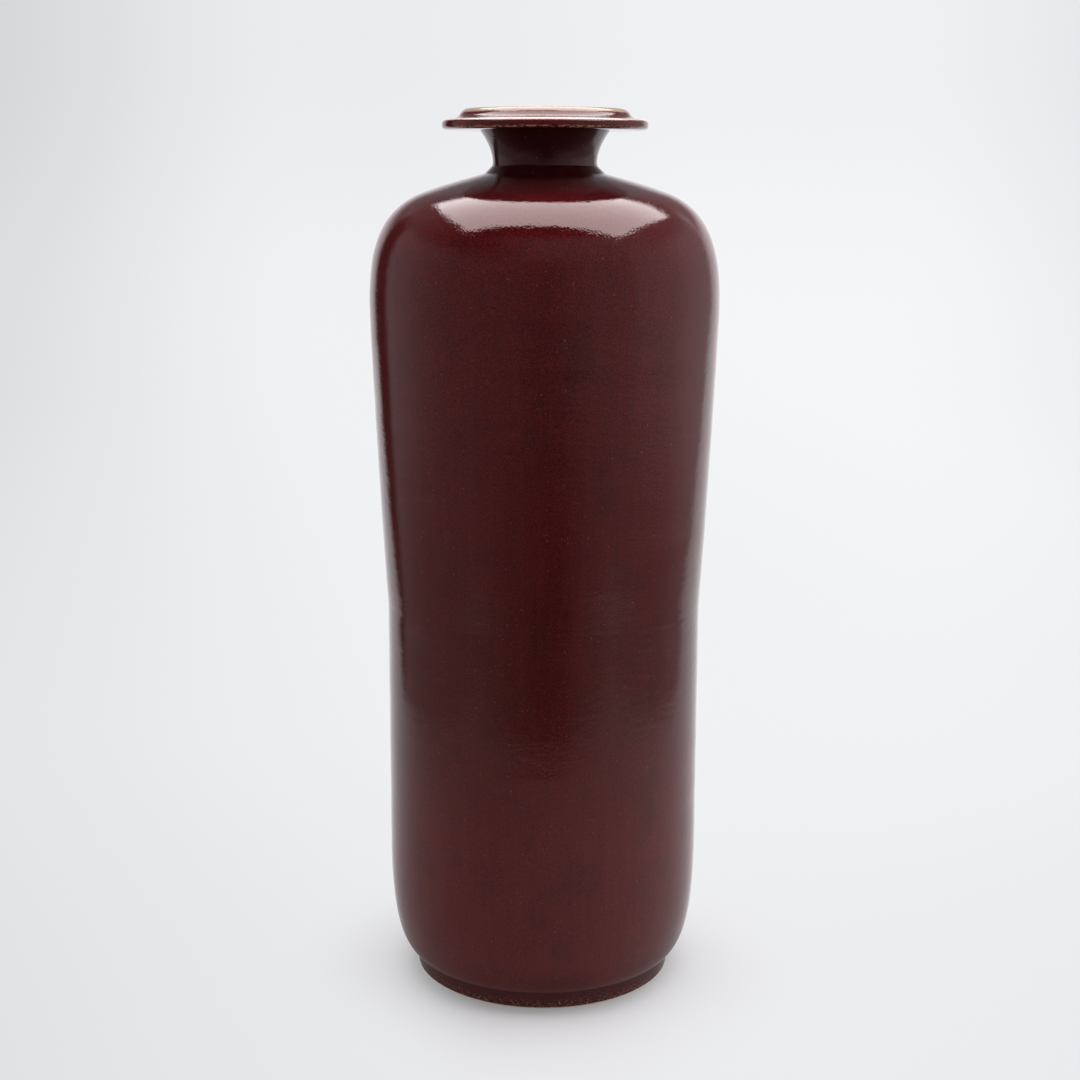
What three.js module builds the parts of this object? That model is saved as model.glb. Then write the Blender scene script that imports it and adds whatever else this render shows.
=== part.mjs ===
// A stoneware floor vase, thrown in sections that are luted together with slip and then glazed.
// Millimetres, +Z up. The origin is the centre of the foot, on the floor.
// Every piece is turned about the Z axis, so each one is a closed outline of (radius, height) points.
import * as THREE from "three";

// Heights, each measured from the top of the stretch below it
const footHeight = 13.7;
const heelRise = 76.8;
const lowerWallRise = 175.5;
const upperWallRise = 204.9;
const shoulderRise = 73.9;
const slopeRise = 12.6;
const neckFilletRise = 7.6;
const neckFlareRise = 21;
const lipThickness = 7.3;
const mouthRise = 6.7;

// Radii of the glazed surface
const footRadius = 89.7;
const waistRadius = 108.5;
const shoulderRadius = 118.3;
const slopeRadius = 84;
const neckBaseRadius = 42.5;
const neckRadius = 34.8;
const neckTopRadius = 43.2;
const lipRadius = 68.6;

// Steps and rounded edges between those radii
const footFlare = 0.9;
const heelOverhang = 3.1;
const lowerSwell = 0.2;
const creaseRise = 1.5;
const lipLedge = 12.5;
const lipEdgeDepth = 6;
const mouthEdgeWidth = 3.7;
const mouthEdgeRise = 2.7;
const mouthLand = 1.5;
const throatEdgeWidth = 2;
const throatEdgeDrop = 1;
const floorCorner = 16;
const footChamfer = 1;

// Clay walls, coats of glaze, and the slip between the thrown sections
const clayWall = 7.2;
const neckWall = 5;
const floorThickness = 12;
const footRingWidth = 13;
const glazeThickness = 1;
const linerThickness = 0.8;
const coatGap = 0.3;
const slipThickness = 1.2;
const slipRecess = 0.8;
const neckSeatDrop = 1.8;
const bareFootHeight = 1.6;

// Where the two handles of each curve sit, as shares of its width and height: out, up, out, up
const creaseHandles = [0, 0.667, 0.333, 1];
const heelHandles = [0.5, 0.1, 0.96, 0.274];
const wallHandles = [0.433, 0.292, 0.885, 0.82];
const shoulderHandles = [0, 0.476, 0.187, 0.838];
const slopeHandles = [0.353, 0.457, 0.687, 0.735];
const filletHandles = [0.585, 0.153, 0.919, 0.487];
const flareHandles = [0, 0.3, 0.333, 0.633];
const lipUnderHandles = [0.9, 0.08, 1, 0.25];
const lipOverHandles = [0, 0.7, 0.25, 1];
const coveHandles = [0.495, 0.098, 0.829, 0.431];
const mouthHandles = [0.18, 0.667, 0.757, 1];
const throatHandles = [0.3, 0.37, 0.62, 0.72];
const cornerHandles = [0.08, 0.6, 0.45, 1];

// Steps along the curves, and sides round the axis
const heelSteps = 4;
const wallSteps = 3;
const shoulderSteps = 6;
const neckSteps = 3;
const lipSteps = 3;
const cornerSteps = 2;
const sides = 32;

// A corner's mitre is never longer than the distance divided by this
const shortestCosine = 0.5;

const waistHeight = footHeight + heelRise + lowerWallRise;
const shoulderHeight = waistHeight + upperWallRise;
const slopeHeight = shoulderHeight + shoulderRise;
const neckBaseHeight = slopeHeight + slopeRise;
const neckHeight = neckBaseHeight + neckFilletRise;
const lipHeight = neckHeight + neckFlareRise;
const lipTopHeight = lipHeight + lipThickness;
const mouthHeight = lipTopHeight + mouthRise;
const floorHeight = footHeight + floorThickness;
const outerCoat = glazeThickness + coatGap;
const innerCoat = linerThickness + coatGap;
const wallDepth = outerCoat + clayWall + innerCoat;
const neckDepth = outerCoat + neckWall + innerCoat;
const footTopRadius = footRadius + footFlare;
const heelRadius = footTopRadius + heelOverhang;
const lowerRadius = waistRadius + lowerSwell;
const mouthRadius = lipRadius - lipLedge;
const throatRadius = mouthRadius - mouthEdgeWidth - mouthLand;

const at = (radius, height) => new THREE.Vector2(radius, height);
const mix = (a, b, share) => a + (b - a) * share;
const reversed = (line) => [...line].reverse();

// Points along a cubic curve. Its first point is left out, so that stretches can follow each other.
function bend(start, end, handles, steps) {
  const [leaveOut, leaveUp, arriveOut, arriveUp] = handles;
  const leave = at(mix(start.x, end.x, leaveOut), mix(start.y, end.y, leaveUp));
  const arrive = at(mix(start.x, end.x, arriveOut), mix(start.y, end.y, arriveUp));
  return new THREE.CubicBezierCurve(start, leave, arrive, end).getPoints(steps).slice(1);
}

// The line moved to the left of the way it runs, with mitred corners.
function inset(line, distance) {
  return line.map((p, i) => {
    const before = line[Math.max(i - 1, 0)];
    const after = line[Math.min(i + 1, line.length - 1)];
    const arriving = i > 0 ? p.clone().sub(before) : after.clone().sub(p);
    const leaving = i < line.length - 1 ? after.clone().sub(p) : p.clone().sub(before);
    const along = arriving.normalize().clone().add(leaving.normalize()).normalize();
    const mitre = distance / Math.max(along.dot(leaving), shortestCosine);
    return at(p.x - along.y * mitre, p.y + along.x * mitre);
  });
}

// The point at which a line first rises to a height, and the place of the point after it.
function cut(line, height) {
  const next = line.findIndex((p, i) => i > 0 && p.y > line[i - 1].y && p.y > height);
  const [a, b] = [line[next - 1], line[next]];
  const share = Math.max((height - a.y) / (b.y - a.y), 0);
  return { point: at(mix(a.x, b.x, share), height), next };
}

function above(line, height) {
  const start = cut(line, height);
  return [start.point, ...line.slice(start.next)];
}

function between(line, low, high) {
  const start = cut(line, low);
  const end = cut(line, high);
  return [start.point, ...line.slice(start.next, end.next), end.point];
}

// The glazed outside, from just above the floor up to the middle of the mouth's rim.
function outerLine() {
  const footTop = at(footTopRadius, footHeight - creaseRise);
  const heelStart = at(heelRadius, footHeight);
  const heelEnd = at(lowerRadius, footHeight + heelRise);
  const waist = at(waistRadius, waistHeight);
  const shoulderStart = at(shoulderRadius, shoulderHeight);
  const slopeStart = at(slopeRadius, slopeHeight);
  const neckBase = at(neckBaseRadius, neckBaseHeight);
  const neckStart = at(neckRadius, neckHeight);
  const neckTop = at(neckTopRadius, lipHeight);
  const lipStart = at(lipRadius - lipEdgeDepth, lipHeight);
  const lipMiddle = at(lipRadius, (lipHeight + lipTopHeight) / 2);
  const coveStart = at(lipRadius - lipEdgeDepth, lipTopHeight);
  const mouthStart = at(mouthRadius, mouthHeight - mouthEdgeRise);
  const mouthEnd = at(mouthRadius - mouthEdgeWidth, mouthHeight);
  return [
    at(footRadius, bareFootHeight),
    footTop,
    ...bend(footTop, heelStart, creaseHandles, cornerSteps),
    ...bend(heelStart, heelEnd, heelHandles, heelSteps),
    waist,
    ...bend(waist, shoulderStart, wallHandles, wallSteps),
    ...bend(shoulderStart, slopeStart, shoulderHandles, shoulderSteps),
    ...bend(slopeStart, neckBase, slopeHandles, cornerSteps),
    ...bend(neckBase, neckStart, filletHandles, neckSteps),
    ...bend(neckStart, neckTop, flareHandles, neckSteps),
    lipStart,
    ...bend(lipStart, lipMiddle, lipUnderHandles, lipSteps),
    ...bend(lipMiddle, coveStart, lipOverHandles, lipSteps),
    ...bend(coveStart, mouthStart, coveHandles, cornerSteps),
    ...bend(mouthStart, mouthEnd, mouthHandles, cornerSteps),
    at(throatRadius + coatGap, mouthHeight),
  ];
}

// The glazed inside, from the rim of the mouth down to the middle of the floor. It follows the outside,
// at the depth of the neck's wall as far as the slope, and then at the depth of the body's.
function innerLine(outer) {
  const rim = at(throatRadius, mouthHeight);
  const throatTop = at(throatRadius - throatEdgeWidth, mouthHeight - throatEdgeDrop);
  const neckTop = at(neckTopRadius - neckDepth, lipHeight);
  const floorTop = floorHeight + innerCoat;
  const isNeck = (p, i) => outer[i].y > neckBaseHeight && outer[i].y < lipHeight;
  const isBody = (p, i) => outer[i].y < neckBaseHeight;
  const neck = inset(outer, neckDepth).filter(isNeck);
  const wall = above(inset(outer, wallDepth).filter(isBody), floorTop + floorCorner);
  const floorEdge = at(wall[0].x - floorCorner, floorTop);
  return [
    rim,
    at((rim.x + throatTop.x) / 2, mouthHeight),
    throatTop,
    ...bend(throatTop, neckTop, throatHandles, cornerSteps),
    ...reversed(neck),
    ...reversed(wall),
    ...bend(wall[0], floorEdge, cornerHandles, neckSteps),
    at(0, floorTop),
  ];
}

const outer = outerLine();
const inner = innerLine(outer);
const clayOuter = inset(outer, outerCoat);
const clayInner = reversed(inset(inner, innerCoat));

const stoneware = { color: 0xb79a7c, roughness: 0.9, metalness: 0 };
const slip = { color: 0xa58a6d, roughness: 0.95, metalness: 0 };
const oxbloodGlaze = { color: 0x45191b, roughness: 0.15, metalness: 0 };
const linerGlaze = { color: 0x2e1214, roughness: 0.2, metalness: 0 };

const group = new THREE.Group();

// Turns an outline about the axis. One that doesn't start and end on the axis is closed on itself.
function revolve(name, outline, material) {
  const closed = outline[0].x === 0 ? outline : [...outline, outline[0].clone()];
  const geometry = new THREE.LatheGeometry(closed, sides);
  geometry.rotateX(Math.PI / 2);
  const mesh = new THREE.Mesh(geometry, new THREE.MeshStandardMaterial(material));
  mesh.name = name;
  group.add(mesh);
}

function addFootRing() {
  const outside = footRadius - outerCoat;
  const inside = footRadius - footRingWidth;
  const top = footHeight - slipThickness;
  const outline = [
    at(inside + footChamfer, 0),
    at(outside - footChamfer, 0),
    at(outside, footChamfer),
    cut(clayOuter, top).point,
    at(inside, top),
    at(inside, footChamfer),
  ];
  revolve("foot_ring", outline, stoneware);
}

// The slip that holds the foot ring to the base, kept back from both faces of the ring.
function addFootSlip() {
  const low = footHeight - slipThickness;
  const outside = cut(clayOuter, low).point.x - slipRecess;
  const inside = footRadius - footRingWidth + slipRecess;
  const outline = [at(inside, low), at(outside, low), at(outside, footHeight), at(inside, footHeight)];
  revolve("foot_slip", outline, slip);
}

// The thrown floor. The wall stands on its rim.
function addBase() {
  const rim = between(clayOuter, footHeight, floorHeight);
  revolve("base_slab", [at(0, footHeight), ...rim, at(0, floorHeight)], stoneware);
}

// A thrown section of wall: up its outside, then down its inside.
function addWall(name, low, high) {
  const outline = [...between(clayOuter, low, high), ...reversed(between(clayInner, low, high))];
  revolve(name, outline, stoneware);
}

// The ring of slip between two thrown sections, kept back from both faces of the wall.
function addSlip(name, low) {
  const high = low + slipThickness;
  const outside = Math.min(cut(clayOuter, low).point.x, cut(clayOuter, high).point.x) - slipRecess;
  const inside = Math.max(cut(clayInner, low).point.x, cut(clayInner, high).point.x) + slipRecess;
  revolve(name, [at(inside, low), at(outside, low), at(outside, high), at(inside, high)], slip);
}

// The flanged lip and the raised mouth, thrown as one piece.
function addLip(low) {
  revolve("lip", [...above(clayOuter, low), ...reversed(above(clayInner, low))], stoneware);
}

// A coat of glaze, on the clay's side of its line.
function addCoat(name, line, thickness, material) {
  revolve(name, [...line, ...reversed(inset(line, thickness))], material);
}

const waistJoint = waistHeight - slipThickness / 2;
const neckJoint = neckBaseHeight - neckSeatDrop;
const lipJoint = lipHeight - slipThickness;

addFootRing();
addFootSlip();
addBase();
addSlip("base_slip", floorHeight);
addWall("lower_wall", floorHeight + slipThickness, waistJoint);
addSlip("waist_slip", waistJoint);
addWall("upper_wall", waistJoint + slipThickness, neckJoint);
addSlip("neck_slip", neckJoint);
addWall("neck", neckJoint + slipThickness, lipJoint);
addSlip("lip_slip", lipJoint);
addLip(lipJoint + slipThickness);
addCoat("outer_glaze", outer, glazeThickness, oxbloodGlaze);
addCoat("inner_glaze", inner, linerThickness, linerGlaze);

export default group;
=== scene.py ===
import math

import bpy
from mathutils import Matrix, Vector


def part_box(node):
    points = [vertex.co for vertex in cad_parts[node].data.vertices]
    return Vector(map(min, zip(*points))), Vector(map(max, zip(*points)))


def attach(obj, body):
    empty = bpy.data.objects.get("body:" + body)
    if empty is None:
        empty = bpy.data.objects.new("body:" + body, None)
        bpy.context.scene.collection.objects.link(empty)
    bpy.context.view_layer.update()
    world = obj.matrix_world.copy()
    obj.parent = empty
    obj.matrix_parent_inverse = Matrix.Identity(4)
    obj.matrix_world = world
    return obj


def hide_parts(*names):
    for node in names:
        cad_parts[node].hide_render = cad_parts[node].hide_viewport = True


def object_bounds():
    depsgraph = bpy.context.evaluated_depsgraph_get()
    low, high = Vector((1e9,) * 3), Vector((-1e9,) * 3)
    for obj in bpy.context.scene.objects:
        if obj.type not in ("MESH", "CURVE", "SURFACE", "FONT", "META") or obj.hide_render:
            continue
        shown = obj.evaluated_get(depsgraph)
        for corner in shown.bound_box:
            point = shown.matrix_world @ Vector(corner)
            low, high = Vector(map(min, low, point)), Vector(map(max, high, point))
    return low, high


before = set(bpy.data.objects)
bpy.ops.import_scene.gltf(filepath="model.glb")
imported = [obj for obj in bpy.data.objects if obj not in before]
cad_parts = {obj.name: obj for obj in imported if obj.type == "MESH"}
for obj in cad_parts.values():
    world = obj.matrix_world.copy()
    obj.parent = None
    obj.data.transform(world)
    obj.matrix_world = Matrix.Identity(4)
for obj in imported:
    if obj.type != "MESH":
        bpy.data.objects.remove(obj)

CAD_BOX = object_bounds()

bl_info = {
    "name": "Oxblood Floor Vase",
    "version": (1, 0, 0),
    "blender": (4, 5, 0),
    "location": "View3D > Sidebar > Vase",
    "description": "A thrown stoneware floor vase under oxblood glaze, in a photo studio",
    "category": "Add Mesh",
}

MM = 0.001
BODY = "root"
LINING = 0.8 * MM

# The two handles of each curve, as shares of its width and height: out, up, out, up
STRAIGHT = (1 / 3, 1 / 3, 2 / 3, 2 / 3)
CREASE = (0, 0.667, 0.333, 1)
HEEL = (0.5, 0.1, 0.96, 0.274)
WALL = (0.433, 0.292, 0.885, 0.82)
SHOULDER = (0, 0.476, 0.187, 0.838)
SLOPE = (0.353, 0.457, 0.687, 0.735)
FILLET = (0.585, 0.153, 0.919, 0.487)
FLARE = (0, 0.3, 0.333, 0.633)
LIP_UNDER = (0.9, 0.08, 1, 0.25)
LIP_OVER = (0, 0.7, 0.25, 1)
COVE = (0.495, 0.098, 0.829, 0.431)
MOUTH = (0.18, 0.667, 0.757, 1)
THROAT_EDGE = (0.5, 0, 0.85, 0.4)
THROAT = (0.3, 0.37, 0.62, 0.72)
FLOOR_CORNER = (0.08, 0.6, 0.45, 1)
BASE_EDGE = (0.6, 0, 0.9, 0.4)
ROUND_UP = (0.55, 0, 1, 0.45)
ROUND_DOWN = (0, 0.55, 0.45, 1)
SQUEEZED = (-0.6, 0.3, -0.6, 0.7)

# Where the overhead panel and the camera stand, in metres and degrees
PANEL_SIZE = (1.4, 1.09)
PANEL_PLACE = (0.09, 0.13, 1.235)
PANEL_TURN = -6.5
PANEL_TILT = 3.5
CAMERA_PLACE = (-0.0026, -1.2287, 0.5619)
CAMERA_TILT = 90 - 11.665
CAMERA_ROLL = 0.165


def in_metres(name, description, value):
    return bpy.props.FloatProperty(
        name=name, description=description, default=value, min=0, precision=4, unit="LENGTH"
    )


def in_mm(name, description, value):
    return in_metres(name, description, value * MM)


def linear(hex_colour):
    """The linear colour of an sRGB hex value."""
    parts = [int(hex_colour[i : i + 2], 16) / 255 for i in (1, 3, 5)]
    return [*(c / 12.92 if c <= 0.04045 else ((c + 0.055) / 1.055) ** 2.4 for c in parts), 1]


def colour(name, description, hex_colour):
    return bpy.props.FloatVectorProperty(
        name=name,
        description=description,
        default=linear(hex_colour),
        min=0,
        max=1,
        size=4,
        subtype="COLOR",
    )


def brightness(name, description, default):
    return bpy.props.FloatProperty(
        name=name, description=description, default=default, min=0, max=10
    )


class VaseForm(bpy.types.PropertyGroup):
    """Sizes of the glazed surface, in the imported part's frame."""

    foot_height: in_metres("Foot height", "Height of the foot ring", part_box("base_slab")[0].z)
    heel_height: in_mm("Heel height", "Height at which the heel's curve ends", 90.5)
    waist_height: in_metres(
        "Waist height",
        "Height of the joint at the waist",
        sum(corner.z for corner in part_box("waist_slip")) / 2,
    )
    shoulder_height: in_mm("Shoulder height", "Height of the widest place", 470.9)
    slope_height: in_mm("Slope height", "Height at which the shoulder turns in to the neck", 544.8)
    neck_base_height: in_mm("Neck base height", "Height at which the neck's fillet starts", 557.4)
    neck_height: in_mm("Neck height", "Height of the narrowest place of the neck", 565)
    lip_height: in_metres("Lip height", "Height of the lip's underside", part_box("lip_slip")[1].z)
    lip_top_height: in_mm("Lip top height", "Height of the lip's upper face", 593.3)
    mouth_height: in_metres("Mouth height", "Height of the rim of the mouth", CAD_BOX[1].z)
    foot_radius: in_mm("Foot radius", "Radius of the foot just above the floor", 89.7)
    foot_top_radius: in_mm("Foot top radius", "Radius of the foot under the crease", 90.6)
    heel_radius: in_mm("Heel radius", "Radius of the body just above the crease", 93.7)
    lower_radius: in_mm("Lower radius", "Radius at the end of the heel's curve", 108.7)
    waist_radius: in_mm("Waist radius", "Radius of the body at the waist", 108.5)
    shoulder_radius: in_metres("Shoulder radius", "Radius of the widest place", CAD_BOX[1].x)
    slope_radius: in_mm("Slope radius", "Radius at which the shoulder turns in to the neck", 84)
    neck_base_radius: in_mm("Neck base radius", "Radius at which the neck's fillet starts", 42.5)
    neck_radius: in_mm("Neck radius", "Radius of the narrowest place of the neck", 34.8)
    neck_top_radius: in_mm("Neck top radius", "Radius at which the neck meets the lip", 43.2)
    lip_radius: in_mm("Lip radius", "Radius of the flanged lip", 68.6)
    lip_edge_depth: in_mm("Lip edge depth", "Depth of the lip's rounded edge", 6)
    mouth_radius: in_mm("Mouth radius", "Outer radius of the raised mouth", 56.1)
    mouth_edge_width: in_mm("Mouth edge width", "Width of the mouth's rounded edge", 3.7)
    mouth_edge_rise: in_mm("Mouth edge rise", "Height of the mouth's rounded edge", 2.7)
    throat_radius: in_mm("Throat radius", "Radius where the outer and inner glaze meet", 51.05)
    neck_depth: in_mm("Neck depth", "Thickness of the neck, with its glaze", 7.4)
    wall_depth: in_mm("Wall depth", "Thickness of the body's wall, with its glaze", 9.6)
    inside_floor: in_metres(
        "Inside floor",
        "Height of the glazed floor inside",
        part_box("inner_glaze")[0].z + LINING,
    )
    floor_corner: in_mm("Floor corner", "Size of the curve between the inside wall and floor", 16)
    bare_foot: in_mm("Bare foot", "Height of the bare clay under the edge of the glaze", 1.6)
    coat: in_mm("Glaze thickness", "Thickness of the outer coat of glaze", 1)
    lining: in_metres("Lining thickness", "Thickness of the inner coat of glaze", LINING)
    ripple: in_mm("Throwing ripples", "Depth of the ripples that the potter's hands left", 0.35)
    seam: in_mm("Seam depth", "Depth of the line where the two thrown walls meet", 0.05)


class VaseGlaze(bpy.types.PropertyGroup):
    """Colours of the glaze, the clay and the slip."""

    oxblood: colour("Oxblood", "The glaze on the upper wall", "#3d0f0f")
    deep_red: colour("Deep red", "The thick, clear glaze on the shoulder", "#390a0c")
    liver: colour("Liver red", "The satin glaze on the lower wall", "#3a0f0e")
    heel: colour("Heel red", "The browner glaze over the heel", "#461515")
    purple: colour("Purple", "Darker clouds in the glaze", "#260b0d")
    # Partly painted shade: the glaze under the lip is darkened where the lip's overhang shades it
    neck: colour("Neck", "The glaze at its thickest, under the lip", "#29090b")
    speck: colour("Pale speck", "Tiny pale specks in the glaze", "#70504d")
    foot: colour("Foot", "The glaze on the foot, over dark clay", "#391313")
    crease: colour("Crease", "Glaze pooled in the crease over the foot", "#450708")
    # Partly pale clay flecks, partly painted glints along the foot's lower edge
    fleck_and_glint: colour("Fleck", "Pale flecks of clay that show at the foot", "#7d6452")
    lip_fleck: colour("Lip fleck", "Brown flecks where the glaze broke on the lip", "#8a5f4a")
    # Partly thin pale glaze, partly a painted highlight along the lip's upper edge
    lip_line_and_highlight: colour("Lip line", "Thin glaze along the lip's upper edge", "#a8968a")
    cream: colour("Cream", "Thin glaze that broke to cream on the rim", "#827266")
    lining: colour("Lining", "The glaze inside", "#2b1012")
    clay: colour("Clay", "Bare fired stoneware", "#b79a7c")
    iron: colour("Iron speck", "Iron specks in the clay", "#5f4433")
    slip: colour("Slip", "Slip between the thrown sections", "#a58a6d")


class VaseStudio(bpy.types.PropertyGroup):
    """The stage, the lights and the camera."""

    panel_light: brightness("Overhead panel", "Brightness of the soft panel, with paper at 1", 5)
    surround_light: brightness("Surround", "Brightness of the panels and walls round the vase", 1)
    backdrop_light: brightness("Backdrop", "Brightness of the seamless paper", 1)
    paper: colour("Paper", "The seamless paper", "#c0bdbf")
    lens: bpy.props.FloatProperty(
        name="Lens",
        description="Focal length of the camera",
        default=60.12,
        min=10,
        max=300,
        unit="CAMERA",
    )


def mix(a, b, share):
    return a + (b - a) * share


def bend(start, end, handles, steps):
    """Points of a cubic curve, without its first, so that stretches can follow each other."""
    points = []
    for step in range(1, steps + 1):
        t = step / steps
        first, second, last = 3 * (1 - t) ** 2 * t, 3 * (1 - t) * t**2, t**3
        out = first * handles[0] + second * handles[2] + last
        up = first * handles[1] + second * handles[3] + last
        points.append((mix(start[0], end[0], out), mix(start[1], end[1], up)))
    return points


def outside_stretches(form):
    """The glazed outside from the floor up: where each stretch ends, its handles and its steps."""
    crease_height = form.foot_height - 1.5 * MM
    lip_start = form.lip_radius - form.lip_edge_depth
    lip_middle = (form.lip_height + form.lip_top_height) / 2
    return [
        ((form.foot_top_radius, crease_height), STRAIGHT, 8),
        ((form.heel_radius, form.foot_height), CREASE, 8),
        ((form.lower_radius, form.heel_height), HEEL, 34),
        ((form.waist_radius, form.waist_height), STRAIGHT, 50),
        ((form.shoulder_radius, form.shoulder_height), WALL, 60),
        ((form.slope_radius, form.slope_height), SHOULDER, 56),
        ((form.neck_base_radius, form.neck_base_height), SLOPE, 16),
        ((form.neck_radius, form.neck_height), FILLET, 10),
        ((form.neck_top_radius, form.lip_height), FLARE, 14),
        ((lip_start, form.lip_height), STRAIGHT, 6),
        ((form.lip_radius, lip_middle), LIP_UNDER, 9),
        ((lip_start, form.lip_top_height), LIP_OVER, 9),
        ((form.mouth_radius, form.mouth_height - form.mouth_edge_rise), COVE, 10),
        ((form.mouth_radius - form.mouth_edge_width, form.mouth_height), MOUTH, 10),
        ((form.throat_radius, form.mouth_height), STRAIGHT, 3),
    ]


def outside_line(form, thinning=1):
    line = [(form.foot_radius, form.bare_foot)]
    for end, handles, steps in outside_stretches(form):
        line += bend(line[-1], end, handles, max(1, round(steps / thinning)))
    return line


def offset(line, distance):
    """The line moved to the left of the way it runs, with mitred corners."""
    moved = []
    for i, (x, y) in enumerate(line):
        before = line[max(i - 1, 0)]
        after = line[min(i + 1, len(line) - 1)]
        arriving = (x - before[0], y - before[1]) if i > 0 else (after[0] - x, after[1] - y)
        leaving = (after[0] - x, after[1] - y) if i < len(line) - 1 else arriving
        arriving = [c / math.hypot(*arriving) for c in arriving]
        leaving = [c / math.hypot(*leaving) for c in leaving]
        along = [a + b for a, b in zip(arriving, leaving)]
        along = [c / math.hypot(*along) for c in along]
        mitre = distance / max(along[0] * leaving[0] + along[1] * leaving[1], 0.5)
        moved.append((x - along[1] * mitre, y + along[0] * mitre))
    return moved


def soften(line, centre, reach, passes):
    """Eases the corner that a line has at a height."""
    for _ in range(passes):
        eased = [
            ((a[0] + 2 * b[0] + c[0]) / 4, b[1]) if abs(b[1] - centre) < reach else b
            for a, b, c in zip(line, line[1:], line[2:])
        ]
        line = [line[0], *eased, line[-1]]
    return line


def refine(line, centre, reach, spacing):
    """Adds points to a line near a height."""
    points = [line[0]]
    for a, b in zip(line, line[1:]):
        near = abs((a[1] + b[1]) / 2 - centre) < reach
        parts = max(1, math.ceil((b[1] - a[1]) / spacing)) if near else 1
        for part in range(1, parts + 1):
            share = part / parts
            points.append((mix(a[0], b[0], share), mix(a[1], b[1], share)))
    return points


def closed(line):
    return [*line, line[0]]


def draw_line(name, points):
    """Extrudes a single vertex from point to point, in the plane of X and Z."""
    bpy.ops.object.select_all(action="DESELECT")
    bpy.ops.mesh.primitive_plane_add(size=MM, location=(0, 0, 0))
    piece = bpy.context.object
    piece.name = name
    piece.data.name = name
    bpy.ops.object.mode_set(mode="EDIT")
    bpy.ops.mesh.select_mode(type="VERT")
    bpy.ops.mesh.select_all(action="SELECT")
    bpy.ops.mesh.merge(type="CENTER")
    bpy.ops.transform.translate(value=(points[0][0], 0, points[0][1]))
    for a, b in zip(points, points[1:]):
        step = (b[0] - a[0], 0, b[1] - a[1])
        bpy.ops.mesh.extrude_vertices_move(TRANSFORM_OT_translate={"value": step})
    return piece


def turn(piece, sides):
    """Turns the drawn line once round the axis, and closes what meets."""
    bpy.ops.object.mode_set(mode="EDIT")
    bpy.ops.mesh.select_all(action="SELECT")
    bpy.ops.mesh.spin(steps=sides, angle=math.tau, center=(0, 0, 0), axis=(0, 0, 1))
    bpy.ops.mesh.select_all(action="SELECT")
    bpy.ops.mesh.remove_doubles(threshold=0.002 * MM)
    bpy.ops.mesh.normals_make_consistent(inside=False)
    bpy.ops.object.mode_set(mode="OBJECT")
    bpy.ops.object.shade_smooth_by_angle(angle=math.radians(40))
    return piece


def press_clouds(piece, name, across, stretch, depth, group):
    """Presses a cloudy pattern into the piece, only inwards, so that the piece keeps its size."""
    texture = bpy.data.textures.new(name, "CLOUDS")
    texture.noise_scale = across
    texture.noise_depth = 1
    guide = bpy.data.objects.new(name, None)
    bpy.context.scene.collection.objects.link(guide)
    guide.scale = stretch
    bpy.context.view_layer.update()
    modifier = piece.modifiers.new(name, "DISPLACE")
    modifier.texture = texture
    modifier.texture_coords = "OBJECT"
    modifier.texture_coords_object = guide
    modifier.vertex_group = group
    modifier.mid_level = 1
    modifier.strength = depth
    bpy.context.view_layer.objects.active = piece
    bpy.ops.object.modifier_apply(modifier=name)
    bpy.data.objects.remove(guide)


def dress(piece, material):
    piece.data.materials.clear()
    piece.data.materials.append(material)


def finish_piece(piece, slot, material, *nodes):
    dress(piece, material)
    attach(piece, BODY)
    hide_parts(*nodes)


NOISE = "ShaderNodeTexNoise"
RANGE = "ShaderNodeMapRange"
MATH = "ShaderNodeMath"
VECTOR = "ShaderNodeVectorMath"
MIX = "ShaderNodeMix"
RAMP = "ShaderNodeValToRGB"
SMOOTH = {"interpolation_type": "SMOOTHSTEP"}


def add(tree, kind, inputs=(), output=0, stops=(), **settings):
    """Adds a node with its settings, fills or links its inputs, and returns one of its outputs."""
    node = tree.nodes.new(kind)
    for name, value in settings.items():
        setattr(node, name, value)
    for place, value in inputs.items() if isinstance(inputs, dict) else enumerate(inputs):
        if isinstance(value, bpy.types.NodeSocket):
            tree.links.new(value, node.inputs[place])
        else:
            node.inputs[place].default_value = value
    for i, (position, shade) in enumerate(stops):
        ramp = node.color_ramp.elements
        stop = ramp[i] if i < 2 else ramp.new(position)
        stop.position = position
        stop.color = shade
    return node.outputs[output] if node.outputs else node


def grey(value):
    return (value, value, value, 1)


def new_material(name):
    material = bpy.data.materials.new(name)
    material.use_nodes = True
    material.node_tree.nodes.clear()
    return material, material.node_tree


def bands(tree, table):
    """By name, a share that is 1 where a value lies inside a band.

    Each band gives the value, and where the share starts, is full, begins to fade and ends.
    """
    found = {}
    for name, (value, start, full, fade, end) in table.items():
        rise = add(tree, RANGE, (value, start, full, 0.0, 1.0), **SMOOTH)
        fall = add(tree, RANGE, (value, fade, end, 1.0, 0.0), **SMOOTH)
        found[name] = add(tree, MATH, (rise, fall), operation="MULTIPLY")
    return found


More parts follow.
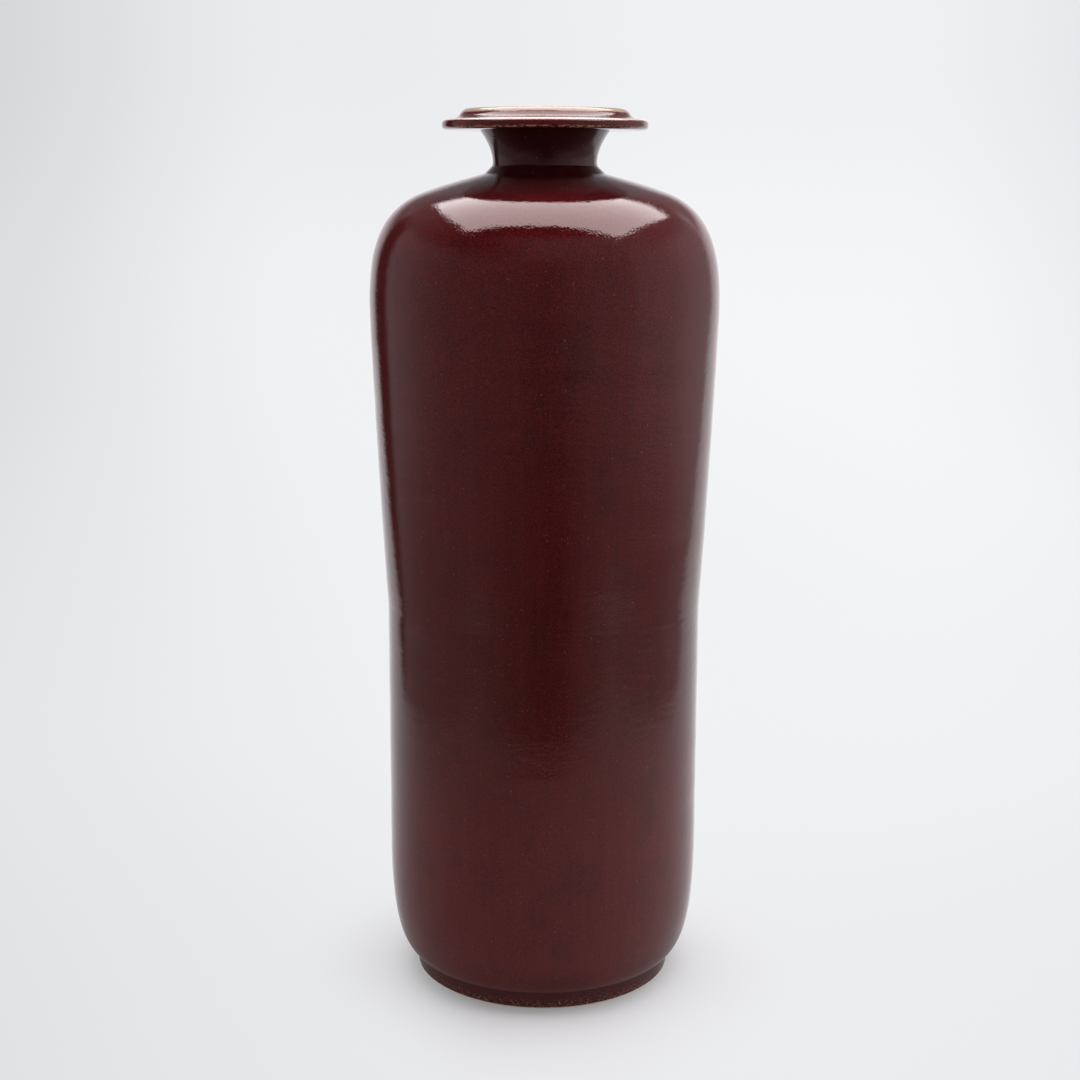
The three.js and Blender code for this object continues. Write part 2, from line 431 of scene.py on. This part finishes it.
def oxblood_material(glaze, form):
    """Copper red stoneware glaze, fired in a reduction kiln.

    It looks glassy and finely dimpled above the waist, where it ran thick, and browner and drier
    below. Under the lip it is nearly black, thick glaze with painted shade from the lip in it, and
    on the rim of the mouth it broke to cream.
    """
    material, tree = new_material("oxblood glaze")
    place = add(tree, "ShaderNodeTexCoord", output="Object")
    across = add(tree, "ShaderNodeSeparateXYZ", (place,))
    deep, up = across.node.outputs["Y"], across.node.outputs["Z"]
    flat = add(tree, "ShaderNodeCombineXYZ", (across, deep))
    radius = add(tree, VECTOR, (flat,), "Value", operation="LENGTH")

    # Runs are drawn out down the wall, and rows lie round it, as the glaze took the turning marks
    runs = add(tree, "ShaderNodeMapping", {"Vector": place, "Scale": (1, 1, 0.07)})
    rows = add(tree, "ShaderNodeMapping", {"Vector": place, "Scale": (0.35, 0.35, 1)})
    lip_rows = add(tree, "ShaderNodeMapping", {"Vector": place, "Scale": (0.3, 0.3, 1)})

    # Sizes in millimetres. The grain and specks are finer on a real glaze, and drawn to show
    seen = {}
    for name, vector, size, detail, roughness in (
        ("clouds", place, 60, 3, 0.5),
        ("patches", place, 32, 3, 0.6),
        ("streaks", runs, 5, 2, 0.5),
        ("waves", rows, 4, 2, 0.5),
        ("grain", place, 1.1, 1, 0.5),
        ("dimples", place, 1.5, 2, 0.6),
        ("fine", place, 0.8, 1, 0.5),
        ("specks", place, 1.2, 0, 0.5),
        ("broken", lip_rows, 1.1, 3, 0.7),
    ):
        scale = 1 / (size * MM)
        inputs = {"Vector": vector, "Scale": scale, "Detail": detail, "Roughness": roughness}
        seen[name] = add(tree, NOISE, inputs)

    # The height at which the glaze changes wanders with the clouds and streaks
    wander = add(tree, MATH, (seen["clouds"], 0.05, -0.025), operation="MULTIPLY_ADD")
    drift = add(tree, MATH, (seen["streaks"], 0.03, -0.015), operation="MULTIPLY_ADD")
    shift = add(tree, MATH, (wander, drift), operation="ADD")
    level = add(tree, MATH, (up, shift), operation="ADD")
    share_of_height = add(tree, MATH, (level, form.mouth_height), operation="DIVIDE")
    body = add(
        tree,
        RAMP,
        (share_of_height,),
        stops=[
            (0.0, glaze.heel),
            (1.0, glaze.deep_red),
            (0.2, glaze.heel),
            (0.35, glaze.liver),
            (0.42, glaze.liver),
            (0.52, glaze.oxblood),
            (0.76, glaze.oxblood),
            (0.85, glaze.deep_red),
        ],
    )

    # The grain stands out more above the waist, between 300 and 500 mm up
    grain_low = add(tree, RANGE, (up, 0.3, 0.5, 0.8, 0.62), **SMOOTH)
    grain_high = add(tree, RANGE, (up, 0.3, 0.5, 1.22, 1.42), **SMOOTH)
    grain_tone = add(tree, RANGE, (seen["grain"], 0.32, 0.68, grain_low, grain_high))
    run_tone = add(tree, RANGE, (seen["streaks"], 0.3, 0.7, 0.94, 1.06), **SMOOTH)
    tone = add(tree, MATH, (grain_tone, run_tone), operation="MULTIPLY")

    rough_edge = add(tree, MATH, (seen["fine"], 0.8 * MM, -0.4 * MM), operation="MULTIPLY_ADD")
    rough_up = add(tree, MATH, (up, rough_edge), operation="ADD")
    foot, lip, top = form.foot_height, form.lip_height, form.lip_top_height
    rim, edge = form.mouth_height, form.lip_radius
    neck_start = form.slope_height - 7.8 * MM
    neck_full = form.neck_base_height - 6.4 * MM
    found = bands(
        tree,
        {
            "foot": (up, -2 * MM, -1 * MM, foot - 1.2 * MM, foot - 0.2 * MM),
            "low_foot": (up, -2 * MM, -1 * MM, 3 * MM, 9 * MM),
            "crease": (up, foot - 1.8 * MM, foot - 0.8 * MM, foot + 0.3 * MM, foot + 1.4 * MM),
            # The neck band: thick glaze, darkened further by painted shade under the lip
            "neck": (up, neck_start, neck_full, lip, lip + 1 * MM),
            "lip_edge": (rough_up, lip + 0.7 * MM, lip + 1.1 * MM, lip + 2 * MM, lip + 2.6 * MM),
            # The lip line: thin pale glaze with a painted highlight, kept to the lip's outer edge
            "lip_line_and_highlight": (rough_up, top - 1.5 * MM, top - 1 * MM, top + 0.1 * MM, top + 0.4 * MM),
            "lip_out": (radius, edge - 3.4 * MM, edge - 2.4 * MM, 1.0, 2.0),
            "rim": (rough_up, rim - 3 * MM, rim - 2.2 * MM, 1.0, 2.0),
        },
    )
    patch = add(tree, RANGE, (seen["patches"], 0.47, 0.74, 0.0, 0.36), **SMOOTH)
    speck = add(tree, RANGE, (seen["specks"], 0.8, 0.86, 0.0, 0.45), **SMOOTH)
    # Pale flecks at the foot: clay that shows through, and painted glints
    foot_fleck_and_glint = add(tree, RANGE, (seen["fine"], 0.6, 0.66, 0.0, 1.0), **SMOOTH)
    lip_fleck = add(tree, RANGE, (seen["broken"], 0.46, 0.56, 0.0, 0.95), **SMOOTH)
    rim_fleck = add(tree, RANGE, (seen["broken"], 0.46, 0.62, 0.0, 0.55), **SMOOTH)
    flecks = {}
    for name, pattern, band in (
        ("foot", foot_fleck_and_glint, found["low_foot"]),
        ("lip", lip_fleck, found["lip_edge"]),
        ("line", found["lip_line_and_highlight"], found["lip_out"]),
        ("rim", rim_fleck, found["rim"]),
    ):
        flecks[name] = add(tree, MATH, (pattern, band), operation="MULTIPLY")

    shade = body
    for share, over in (
        (patch, glaze.purple),
        (found["neck"], glaze.neck),
        (found["foot"], glaze.foot),
    ):
        shade = add(tree, MIX, {0: share, 6: shade, 7: over}, 2, data_type="RGBA")
    shade = add(tree, VECTOR, {0: shade, "Scale": tone}, operation="SCALE")
    for share, over in (
        (speck, glaze.speck),
        (flecks["foot"], glaze.fleck_and_glint),
        (found["crease"], glaze.crease),
        (flecks["lip"], glaze.lip_fleck),
        (flecks["line"], glaze.lip_line_and_highlight),
        (found["rim"], glaze.cream),
        (flecks["rim"], glaze.lip_fleck),
    ):
        shade = add(tree, MIX, {0: share, 6: shade, 7: over}, 2, data_type="RGBA")

    gloss = add(tree, RANGE, (level, 0.04, 0.2, 0.08, 0.04), **SMOOTH)
    dull = add(tree, RANGE, (seen["patches"], 0.5, 0.8, 0.0, 0.02), **SMOOTH)
    roughness = add(tree, MATH, (gloss, dull), operation="ADD")
    peel = add(tree, MATH, (seen["dimples"], 0.4, seen["waves"]), operation="MULTIPLY_ADD")
    relief = add(tree, MATH, (seen["grain"], 0.5, peel), operation="MULTIPLY_ADD")
    bump = add(
        tree, "ShaderNodeBump", {"Strength": 1.0, "Distance": 0.11 * MM, "Height": relief}
    )
    shader = add(
        tree,
        "ShaderNodeBsdfPrincipled",
        {
            "Base Color": shade,
            "Roughness": roughness,
            "IOR": 1.62,
            "Specular Tint": (1, 0.78, 0.78, 1),
            "Normal": bump,
        },
    )
    add(tree, "ShaderNodeOutputMaterial", (shader,))
    return material


def lining_material(glaze, form):
    """Stoneware liner glaze, poured round the inside.

    It looks dark and glossy, with clouds, and it broke to cream where it meets the rim.
    """
    material, tree = new_material("liner glaze")
    place = add(tree, "ShaderNodeTexCoord", output="Object")
    up = add(tree, "ShaderNodeSeparateXYZ", (place,), "Z")

    # Sizes in millimetres
    seen = {}
    for name, size, detail, roughness in (
        ("clouds", 18, 3, 0.6),
        ("fine", 0.8, 1, 0.5),
        ("dimples", 1.5, 1, 0.5),
    ):
        scale = 1 / (size * MM)
        inputs = {"Vector": place, "Scale": scale, "Detail": detail, "Roughness": roughness}
        seen[name] = add(tree, NOISE, inputs)

    rough_edge = add(tree, MATH, (seen["fine"], 0.8 * MM, -0.4 * MM), operation="MULTIPLY_ADD")
    rough_up = add(tree, MATH, (up, rough_edge), operation="ADD")
    rim = form.mouth_height
    found = bands(
        tree,
        {
            "clouds": (seen["clouds"], 0.35, 0.7, 1.0, 2.0),
            "rim": (rough_up, rim - 2.5 * MM, rim - 1.2 * MM, 1.0, 2.0),
        },
    )
    shade = glaze.lining
    for share, over in ((found["clouds"], glaze.purple), (found["rim"], glaze.cream)):
        shade = add(tree, MIX, {0: share, 6: shade, 7: over}, 2, data_type="RGBA")
    bump = add(
        tree,
        "ShaderNodeBump",
        {"Strength": 1.0, "Distance": 0.05 * MM, "Height": seen["dimples"]},
    )
    roughness = add(tree, RANGE, (seen["clouds"], 0.3, 0.7, 0.16, 0.26), **SMOOTH)
    shader = add(
        tree,
        "ShaderNodeBsdfPrincipled",
        {"Base Color": shade, "Roughness": roughness, "IOR": 1.52, "Normal": bump},
    )
    add(tree, "ShaderNodeOutputMaterial", (shader,))
    return material


def clay_material(name, base, speck, ring_spacing):
    """Bare fired stoneware, turned on the wheel.

    It looks matt and gritty, with iron specks and fine rings from the tool.
    """
    material, tree = new_material(name)
    place = add(tree, "ShaderNodeTexCoord", output="Object")
    across = add(tree, "ShaderNodeSeparateXYZ", (place,))
    flat = add(tree, "ShaderNodeCombineXYZ", (across, across.node.outputs["Y"]))
    radius = add(tree, VECTOR, (flat,), "Value", operation="LENGTH")
    turns = add(tree, MATH, (radius, math.tau / (ring_spacing * MM)), operation="MULTIPLY")
    rings = add(tree, MATH, (turns,), operation="SINE")

    # Sizes in millimetres. Real grit is about 0.3 mm, and is drawn coarse enough to show
    seen = {}
    for pattern, size, detail in (("mottle", 14, 3), ("grit", 0.7, 2), ("specks", 1.6, 1)):
        scale = 1 / (size * MM)
        inputs = {"Vector": place, "Scale": scale, "Detail": detail, "Roughness": 0.5}
        seen[pattern] = add(tree, NOISE, inputs)

    specks = add(tree, RANGE, (seen["specks"], 0.68, 0.74, 0.0, 1.0), **SMOOTH)
    tone = add(tree, RANGE, (seen["mottle"], 0.3, 0.7, 0.86, 1.1), **SMOOTH)
    toned = add(tree, VECTOR, {0: base[:3], "Scale": tone}, operation="SCALE")
    shade = add(tree, MIX, {0: specks, 6: toned, 7: speck}, 2, data_type="RGBA")
    relief = add(tree, MATH, (rings, 0.35, seen["grit"]), operation="MULTIPLY_ADD")
    bump = add(
        tree, "ShaderNodeBump", {"Strength": 1.0, "Distance": 0.12 * MM, "Height": relief}
    )
    roughness = add(tree, RANGE, (seen["grit"], 0.3, 0.7, 0.82, 0.95), **SMOOTH)
    shader = add(
        tree,
        "ShaderNodeBsdfPrincipled",
        {"Base Color": shade, "Roughness": roughness, "Normal": bump},
    )
    add(tree, "ShaderNodeOutputMaterial", (shader,))
    return material


class VASE_OT_outer_glaze(bpy.types.Operator):
    """Adds the oxblood coat over the whole outside"""

    bl_idname = "vase.outer_glaze"
    bl_label = "Outer Glaze"
    bl_options = {"REGISTER", "UNDO"}

    def execute(self, context):
        form = context.scene.vase_form
        waist = form.waist_height
        line = refine(outside_line(form), waist, reach=24 * MM, spacing=1.5 * MM)
        line = soften(line, waist, reach=20 * MM, passes=30)
        seam_width = 1.6 * MM
        line = [
            (r - form.seam * math.exp(-(((z - waist) / seam_width) ** 2)), z) for r, z in line
        ]
        inner = offset(outside_line(form, thinning=7), form.coat)
        piece = draw_line("outer_glaze_coat", closed([*line, *reversed(inner)]))
        bpy.ops.object.mode_set(mode="OBJECT")

        # The ripples start in the heel, end under the neck, and fade over these lengths
        low, low_fade = form.heel_height * 0.3, 60 * MM
        high, high_fade = form.neck_base_height, 30 * MM
        group = piece.vertex_groups.new(name="thrown")
        for i, (_, z) in enumerate(line):
            above_foot = min(1, max(0, (z - low) / low_fade))
            below_neck = min(1, max(0, (high - z) / high_fade))
            group.add([i], above_foot * below_neck, "REPLACE")
        turn(piece, sides=256)
        press_clouds(
            piece,
            "throwing ripples",
            across=20 * MM,
            stretch=(7, 7, 1),
            depth=form.ripple,
            group="thrown",
        )
        piece.vertex_groups.clear()
        glaze = oxblood_material(context.scene.vase_glaze, form)
        finish_piece(piece, "oxblood_glaze", glaze, "outer_glaze")
        return {"FINISHED"}


class VASE_OT_inner_glaze(bpy.types.Operator):
    """Adds the lining of glaze, from the rim of the mouth down to the floor inside"""

    bl_idname = "vase.inner_glaze"
    bl_label = "Inner Glaze"
    bl_options = {"REGISTER", "UNDO"}

    def execute(self, context):
        form = context.scene.vase_form
        outer = outside_line(form, thinning=2)
        neck = [
            inside
            for inside, outside in zip(offset(outer, form.neck_depth), outer)
            if form.neck_base_height < outside[1] < form.lip_height - MM
        ]
        body = [
            inside
            for inside, outside in zip(offset(outer, form.wall_depth), outer)
            if outside[1] < form.neck_base_height
            and inside[1] > form.inside_floor + form.floor_corner
        ]
        rim = (form.throat_radius, form.mouth_height)
        edge_width, edge_drop = 2.1 * MM, 1 * MM
        throat_top = (form.throat_radius - edge_width, form.mouth_height - edge_drop)
        neck_top = (form.neck_top_radius - form.neck_depth, form.lip_height)
        corner = (body[0][0] - form.floor_corner, form.inside_floor)
        line = [
            rim,
            *bend(rim, throat_top, THROAT_EDGE, 5),
            *bend(throat_top, neck_top, THROAT, 14),
            *reversed(neck),
            *reversed(body),
            *bend(body[0], corner, FLOOR_CORNER, 8),
            (0, form.inside_floor),
        ]
        backing = [(max(r, 0), z) for r, z in reversed(offset(line[:-1], form.lining))]
        bottom = (0, form.inside_floor - form.lining)
        piece = turn(
            draw_line("inner_glaze_coat", closed([*line, bottom, *backing])), sides=128
        )
        lining = lining_material(context.scene.vase_glaze, form)
        finish_piece(piece, "liner_glaze", lining, "inner_glaze")
        return {"FINISHED"}


class VASE_OT_foot(bpy.types.Operator):
    """Adds the turned foot ring, its slip and the thrown base, and dresses the hidden clay"""

    bl_idname = "vase.foot"
    bl_label = "Foot and Base"
    bl_options = {"REGISTER", "UNDO"}

    def execute(self, context):
        glaze = context.scene.vase_glaze
        clay = clay_material("fired stoneware", glaze.clay, glaze.iron, ring_spacing=2.5)
        slip = clay_material("joining slip", glaze.slip, glaze.iron, ring_spacing=1.5)

        # The foot ring, with its two bottom edges rounded
        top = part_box("foot_ring")[1]
        inner, outer = 76.7 * MM, 88.4 * MM
        edge = 1.2 * MM
        line = [
            (inner + edge, 0),
            *bend((inner + edge, 0), (outer - edge, 0), STRAIGHT, 4),
            *bend((outer - edge, 0), (outer, edge), ROUND_UP, 5),
            *bend((outer, edge), (top.x, top.z), STRAIGHT, 5),
            *bend((top.x, top.z), (inner, top.z), STRAIGHT, 4),
            *bend((inner, top.z), (inner, edge), STRAIGHT, 4),
            *bend((inner, edge), (inner + edge, 0), ROUND_DOWN, 5),
        ]
        ring = turn(draw_line("turned_foot_ring", line), sides=192)
        finish_piece(ring, "stoneware", clay, "foot_ring")

        # Its slip, squeezed in a little at the outside
        low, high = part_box("foot_slip")
        inner += 0.8 * MM
        outer_top = high.x - 0.3 * MM
        line = [
            (inner, low.z),
            *bend((inner, low.z), (high.x, low.z), STRAIGHT, 4),
            *bend((high.x, low.z), (outer_top, high.z), SQUEEZED, 4),
            *bend((outer_top, high.z), (inner, high.z), STRAIGHT, 4),
            *bend((inner, high.z), (inner, low.z), STRAIGHT, 2),
        ]
        ring_slip = turn(draw_line("foot_ring_slip", line), sides=160)
        finish_piece(ring_slip, "slip", slip, "foot_slip")

        # The base, whose edge follows the heel inside the glaze
        low, high = (corner.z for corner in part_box("base_slab"))
        under_glaze, clear = 1.3 * MM, 0.2 * MM
        heel = [
            point
            for point in offset(outside_line(context.scene.vase_form, thinning=2), under_glaze)
            if low + clear < point[1] < high - clear
        ]
        start = (heel[0][0] - 1.5 * MM, low)
        end = (heel[-1][0], high)
        line = [
            (0, low),
            *bend((0, low), start, STRAIGHT, 20),
            *bend(start, heel[0], BASE_EDGE, 3),
            *heel[1:],
            end,
            *bend(end, (0, high), STRAIGHT, 10),
            (0, low),
        ]
        base = turn(draw_line("thrown_base", line), sides=160)
        finish_piece(base, "stoneware", clay, "base_slab")

        for name in ("lower_wall", "upper_wall", "neck", "lip"):
            dress(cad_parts[name], clay)
        for name in ("base_slip", "waist_slip", "neck_slip", "lip_slip"):
            dress(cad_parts[name], slip)
        return {"FINISHED"}


def floor_sheen(tree, way):
    """How bright the paper looks in the glaze: dull in front, brighter to the back and right."""
    flat = add(tree, VECTOR, (way, (1, 1, 0)), operation="MULTIPLY")
    level = add(tree, VECTOR, (flat,), operation="NORMALIZE")
    lean = add(tree, VECTOR, (level, (0.1, 0.22, 0)), "Value", operation="DOT_PRODUCT")
    back = add(tree, VECTOR, (level, (0, 1, 0)), "Value", operation="DOT_PRODUCT")
    behind = add(tree, MATH, (back, 0.0), operation="MAXIMUM")
    glare = add(tree, MATH, (behind, behind), operation="MULTIPLY")
    sum_of_both = add(tree, MATH, (glare, 0.4, lean), operation="MULTIPLY_ADD")
    return add(tree, MATH, (sum_of_both, 0.47), operation="ADD")


def paper_material(studio):
    """Seamless background paper.

    It looks matt and even. Near the vase it is lit by the panel, and farther off it glows, as if
    lit by lamps of its own.
    """
    material, tree = new_material("seamless paper")
    place = add(tree, "ShaderNodeTexCoord", output="Object")
    across = add(tree, "ShaderNodeSeparateXYZ", (place,))
    back, up = across.node.outputs["Y"], across.node.outputs["Z"]
    far = add(tree, VECTOR, (place,), "Value", operation="LENGTH")

    # Its own light, which falls off to the sides, to the top and towards the front
    from_left = add(tree, MATH, (back, 0.2, across), operation="MULTIPLY_ADD")
    from_right = add(tree, MATH, (back, -0.2, across), operation="MULTIPLY_ADD")
    glow = 0.0
    for value, start, end, low, high in (
        (from_left, -0.9, 0.15, 0.74, 0.9),
        (from_left, 0.3, 1.4, 0.0, 0.04),
        (from_right, 0.2, 1.1, 0.0, -0.1),
        (up, 0.1, 0.9, 0.0, -0.05),
        (back, -0.3, 0.6, -0.045, 0.0),
    ):
        part = add(tree, RANGE, (value, start, end, low, high), **SMOOTH)
        glow = add(tree, MATH, (glow, part), operation="ADD")
    in_gloss = add(tree, "ShaderNodeLightPath", output="Is Glossy Ray")
    near_shade = add(tree, RANGE, (far, 0.09, 0.14, 0.55, 1.0), **SMOOTH)
    sheen = add(tree, MATH, (floor_sheen(tree, place), near_shade), operation="MULTIPLY")
    seen = add(tree, MIX, {0: in_gloss, 2: glow, 3: sheen})
    own_light = add(tree, MATH, (seen, studio.backdrop_light), operation="MULTIPLY")
    lit = add(tree, "ShaderNodeEmission", {"Color": (0.97, 0.98, 1, 1), "Strength": own_light})

    # The sheet near the vase, which takes the vase's shadow, with a 3 mm fibre grain
    grain = add(tree, NOISE, {"Vector": place, "Scale": 1 / (3 * MM)})
    roughness = add(tree, RANGE, (grain, 0.3, 0.7, 0.85, 0.95))
    sheet = add(
        tree, "ShaderNodeBsdfPrincipled", {"Base Color": studio.paper, "Roughness": roughness}
    )
    # Some glow mixes in even at the vase's foot, and more to the left and right, which paints
    # light into the vase's shadow there
    reach = far
    for start, end, low, high in ((-0.12, -0.02, 0.06, 0.0), (0.02, 0.12, 0.0, 0.04)):
        part = add(tree, RANGE, (across, start, end, low, high), **SMOOTH)
        reach = add(tree, MATH, (reach, part), operation="ADD")
    share = add(tree, RANGE, (reach, 0.085, 0.25, 0.18, 1.0), **SMOOTH)
    gloss_share = add(tree, MATH, (share, in_gloss), operation="MAXIMUM")
    joined = add(tree, "ShaderNodeMixShader", (gloss_share, sheet, lit))
    add(tree, "ShaderNodeOutputMaterial", (joined,))
    return material


def surround_world(studio):
    """The dark studio: white paper behind, a grey panel at each side, a dim front and ceiling."""
    world = bpy.data.worlds.new("studio")
    bpy.context.scene.world = world
    world.use_nodes = True
    tree = world.node_tree
    tree.nodes.clear()
    way = add(tree, "ShaderNodeTexCoord", output="Generated")
    across = add(tree, "ShaderNodeSeparateXYZ", (way,))
    back, up = across.node.outputs["Y"], across.node.outputs["Z"]
    front = add(tree, MATH, (back, -1.0), operation="MULTIPLY")
    angle = add(tree, MATH, (across, front), operation="ARCTAN2")
    turn_share = add(tree, MATH, (angle, 1 / math.tau, 0.5), operation="MULTIPLY_ADD")

    # Brightness at each angle in degrees, from the back at -180 over the left at -90, the front
    # at 0 and the right at 90 to the back again. The first two are the ramp's own end stops
    rings = {
        "walls": [
            *((-180, 0.9), (180, 0.9), (-165, 0.87), (-152, 0.78), (-147, 0.62), (-143, 0.03)),
            *((-127, 0.03), (-123, 0.36), (-100, 0.38), (-84, 0.29), (-60, 0.18), (-22, 0.14)),
            *((2, 0.09), (14, 0.15), (34, 0.25), (58, 0.3), (64, 0.43), (92, 0.52)),
            *((106, 0.58), (122, 0.5), (138, 0.36), (142, 0.85), (150, 1.0), (165, 1.0)),
        ],
        "low": [
            *((-180, 0.9), (180, 0.9), (-150, 0.6), (-143, 0.03), (-126, 0.05), (-120, 0.23)),
            *((-84, 0.2), (-50, 0.18), (-28, 0.1), (0, 0.035), (12, 0.03), (30, 0.15)),
            *((52, 0.24), (90, 0.24), (106, 0.28), (135, 0.34)),
        ],
        "high": [
            *((-180, 0.2), (180, 0.2), (-120, 0.2), (-90, 0.12), (-64, 0.04), (-40, 0.05)),
            *((-26, 0.13), (0, 0.22), (30, 0.26), (56, 0.34), (76, 0.36), (96, 0.3)),
            (130, 0.25),
        ],
    }
    level = {
        name: add(tree, RAMP, (turn_share,), stops=[(a / 360 + 0.5, grey(v)) for a, v in ring])
        for name, ring in rings.items()
    }
    low_share = add(tree, RANGE, (up, -0.3, -0.14, 1.0, 0.0), **SMOOTH)
    wall = add(tree, MIX, {0: low_share, 2: level["walls"], 3: level["low"]})
    high_share = add(tree, RANGE, (up, 0.36, 0.54, 0.0, 1.0), **SMOOTH)
    ceiling = add(tree, RANGE, (up, 0.68, 0.8, 1.0, 0.05), **SMOOTH)
    high = add(tree, MATH, (level["high"], ceiling), operation="MULTIPLY")
    side = add(tree, MIX, {0: high_share, 2: wall, 3: high})
    rear = add(tree, RANGE, (back, 0.72, 0.8, 0.0, 1.0), **SMOOTH)
    rear_top = add(tree, RANGE, (up, 0.15, 0.33, 1.0, 0.25), **SMOOTH)
    behind = add(tree, MATH, (level["walls"], rear_top), operation="MULTIPLY")
    upright = add(tree, MIX, {0: rear, 2: side, 3: behind})
    panels = add(tree, VECTOR, {0: (1.05, 0.98, 1.02), "Scale": upright}, operation="SCALE")

    # What lights the clay and the glaze's own colour: soft light from both sides
    right_light = add(tree, RANGE, (across, 0.3, 1.0, 0.0, 2.8))
    left_light = add(tree, RANGE, (across, -1.0, -0.2, 2.8, 0.0))
    low_left = add(tree, RANGE, (up, 0.1, 0.6, 1.0, 0.1))
    both = add(tree, MATH, (left_light, low_left, right_light), operation="MULTIPLY_ADD")
    side_light = add(tree, MATH, (both, 0.3), operation="ADD")
    ambient = add(tree, RANGE, {0: up, 1: -0.1, 2: 0.1, 3: 0.6, 4: side_light})
    in_gloss = add(tree, "ShaderNodeLightPath", output="Is Glossy Ray")
    shade = add(tree, MIX, {0: in_gloss, 6: ambient, 7: panels}, 2, data_type="RGBA")
    light = add(
        tree, "ShaderNodeBackground", {"Color": shade, "Strength": studio.surround_light}
    )
    add(tree, "ShaderNodeOutputWorld", (light,))


class VASE_OT_studio(bpy.types.Operator):
    """Adds the paper, the light and the camera"""

    bl_idname = "vase.studio"
    bl_label = "Studio"
    bl_options = {"REGISTER", "UNDO"}

    def execute(self, context):
        studio = context.scene.vase_studio
        paper = paper_material(studio)

        # The radii of the lit floor and of the whole floor, then the sweep's curve and its top
        near, far, rise, top = 0.45, 3.2, 1.4, 5.0
        floor_line = [(0, 0), *bend((0, 0), (near, 0), STRAIGHT, 16)]
        floor = turn(draw_line("paper_floor", floor_line), sides=96)
        sweep_line = [
            (near, 0),
            *bend((near, 0), (far, 0), STRAIGHT, 12),
            *bend((far, 0), (far + rise, rise), ROUND_UP, 16),
            *bend((far + rise, rise), (far + rise, top), STRAIGHT, 6),
        ]
        sweep = turn(draw_line("paper_sweep", sweep_line), sides=96)
        sweep.visible_glossy = False

        # The white sheet as the glaze mirrors it: a table's width in front, wider behind
        corners = (
            *((-0.68, -0.66), (0.7, -0.66), (0.75, 0.25)),
            *((3.1, 3.2), (-2.4, 3.2), (-0.69, 0.38)),
        )
        bpy.ops.mesh.primitive_circle_add(vertices=len(corners), fill_type="NGON")
        mirrored = context.object
        mirrored.name = mirrored.data.name = "paper_in_glaze"
        for vertex, (x, y) in zip(mirrored.data.vertices, corners):
            vertex.co = (x, y, -MM)
        mirrored.visible_camera = False
        for sheet in (sweep, mirrored):
            sheet.visible_diffuse = False
            sheet.visible_shadow = False
        for sheet in (floor, sweep, mirrored):
            dress(sheet, paper)

        surround_world(studio)

        lamp = bpy.data.lights.new("overhead panel", "AREA")
        lamp.shape = "RECTANGLE"
        lamp.size, lamp.size_y = PANEL_SIZE
        lamp.energy = studio.panel_light * math.pi * lamp.size * lamp.size_y
        panel = bpy.data.objects.new("overhead_panel", lamp)
        panel.matrix_world = (
            Matrix.Translation(PANEL_PLACE)
            @ Matrix.Rotation(math.radians(PANEL_TURN), 4, "Z")
            @ Matrix.Rotation(math.radians(PANEL_TILT), 4, "X")
        )
        panel.visible_camera = False
        context.scene.collection.objects.link(panel)

        lens = bpy.data.cameras.new("camera")
        lens.lens = studio.lens
        lens.sensor_width = 36
        camera = bpy.data.objects.new("camera", lens)
        context.scene.collection.objects.link(camera)
        camera.matrix_world = (
            Matrix.Translation(CAMERA_PLACE)
            @ Matrix.Rotation(math.radians(CAMERA_TILT), 4, "X")
            @ Matrix.Rotation(math.radians(CAMERA_ROLL), 4, "Z")
        )
        context.scene.camera = camera
        context.scene.view_settings.view_transform = "Standard"
        return {"FINISHED"}


class VASE_PT_sidebar(bpy.types.Panel):
    """The vase's pieces, sizes and colours"""

    bl_idname = "VASE_PT_sidebar"
    bl_label = "Floor Vase"
    bl_space_type = "VIEW_3D"
    bl_region_type = "UI"
    bl_category = "Vase"

    def draw(self, context):
        layout = self.layout
        scene = context.scene
        for operator in OPERATORS:
            layout.operator(operator.bl_idname)
        for group in (scene.vase_form, scene.vase_glaze, scene.vase_studio):
            box = layout.box()
            for name in group.bl_rna.properties.keys():
                if name not in ("rna_type", "name"):
                    box.prop(group, name)


OPERATORS = (VASE_OT_outer_glaze, VASE_OT_inner_glaze, VASE_OT_foot, VASE_OT_studio)
CLASSES = (VaseForm, VaseGlaze, VaseStudio, *OPERATORS, VASE_PT_sidebar)


def register():
    for cls in CLASSES:
        bpy.utils.register_class(cls)
    bpy.types.Scene.vase_form = bpy.props.PointerProperty(type=VaseForm)
    bpy.types.Scene.vase_glaze = bpy.props.PointerProperty(type=VaseGlaze)
    bpy.types.Scene.vase_studio = bpy.props.PointerProperty(type=VaseStudio)


def unregister():
    del bpy.types.Scene.vase_studio
    del bpy.types.Scene.vase_glaze
    del bpy.types.Scene.vase_form
    for cls in reversed(CLASSES):
        bpy.utils.unregister_class(cls)


def main():
    register()
    bpy.ops.vase.outer_glaze()
    bpy.ops.vase.inner_glaze()
    bpy.ops.vase.foot()
    bpy.ops.vase.studio()


if __name__ == "__main__":
    main()
